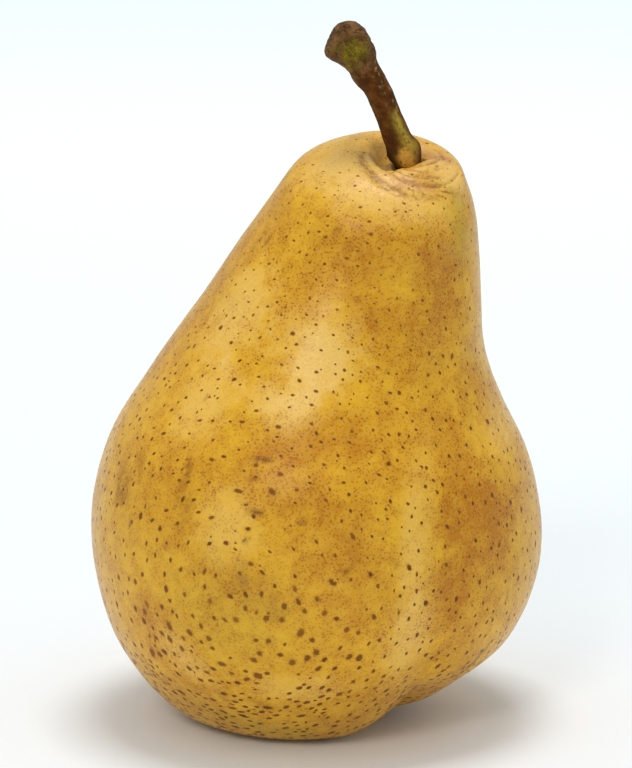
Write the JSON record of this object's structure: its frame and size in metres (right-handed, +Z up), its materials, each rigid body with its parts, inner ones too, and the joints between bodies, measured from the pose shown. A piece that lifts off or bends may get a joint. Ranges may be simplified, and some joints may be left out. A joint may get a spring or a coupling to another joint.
{
  "type": "pear",
  "caption": "Ripe dessert pear with a full, uneven belly, a neck that leans, a long crease, a woody stem and a dried calyx underneath.",
  "frame": {"origin": "on the surface that the pear stands on, under the middle of its bounding box", "axes": "+Z up through the belly to the stem; -Y is the front, where the long crease is; +X is the side that the neck leans to"},
  "size_m": [0.0757, 0.0755, 0.1188],
  "materials": {
    "skin": "waxy golden yellow pear skin, satin, with brown lenticels and amber mottling",
    "bark": "dry dark brown bark, rough at the knobby end",
    "dried_calyx": "dry, dark and brittle sepals"
  },
  "bodies": {
    "root": {"fruit": "skin", "stem": "bark", "calyx": "dried_calyx"}
  },
  "joints": []
}
